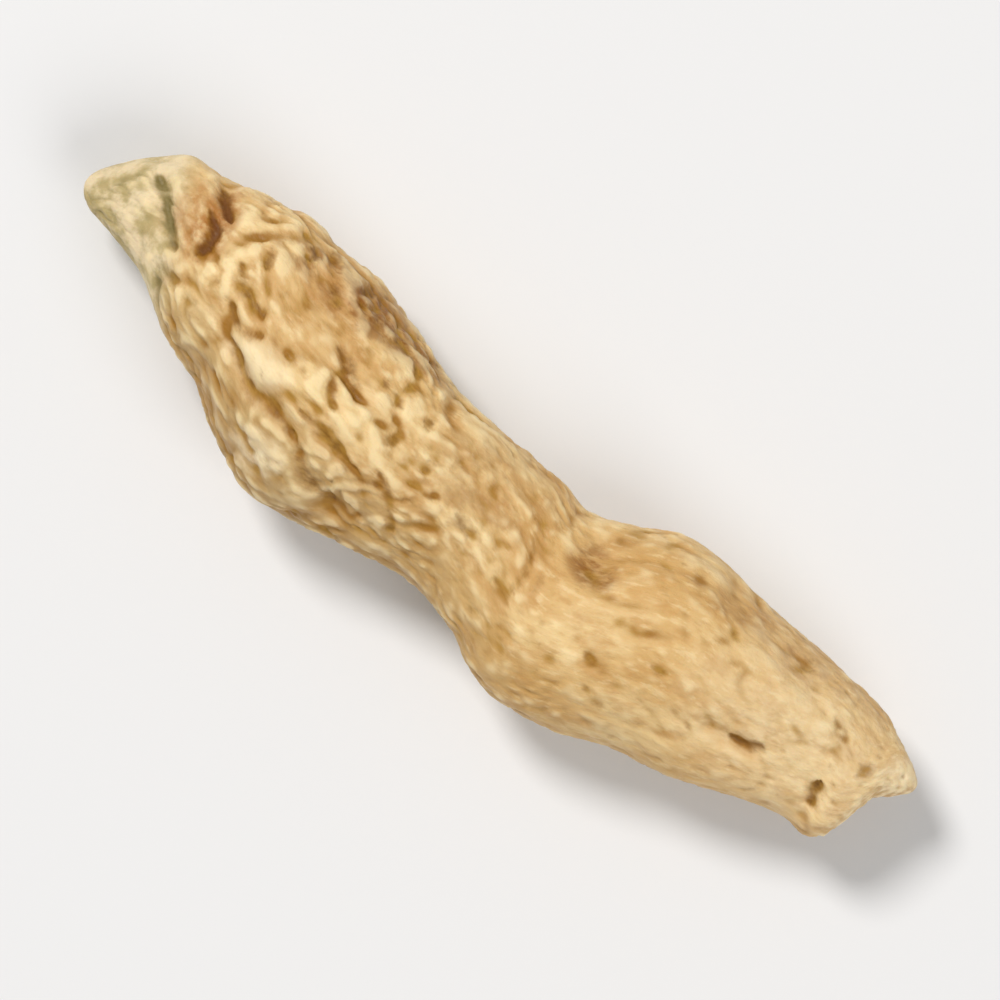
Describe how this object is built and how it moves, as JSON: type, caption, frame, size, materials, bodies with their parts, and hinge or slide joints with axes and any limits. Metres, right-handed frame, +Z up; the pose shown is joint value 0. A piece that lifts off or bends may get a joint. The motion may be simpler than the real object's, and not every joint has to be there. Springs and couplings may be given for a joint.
{
  "type": "dried ophiopogon tuber",
  "caption": "Small dried root tuber: a bent, wrinkled spindle with a drawn-out tip, a shallow waist and a blunt slanting end.",
  "frame": {"origin": "on the surface the tuber lies on, under the middle of its outline seen from above", "axes": "+X from the drawn-out tip to the blunt end, along the straight line that joins them; +Z up; +Y to the side on which the waist is hollow"},
  "size_m": [0.025, 0.0069, 0.0052],
  "materials": {
    "dried_skin": "matte"
  },
  "bodies": {
    "root": {"tuber": "dried_skin"}
  },
  "joints": []
}
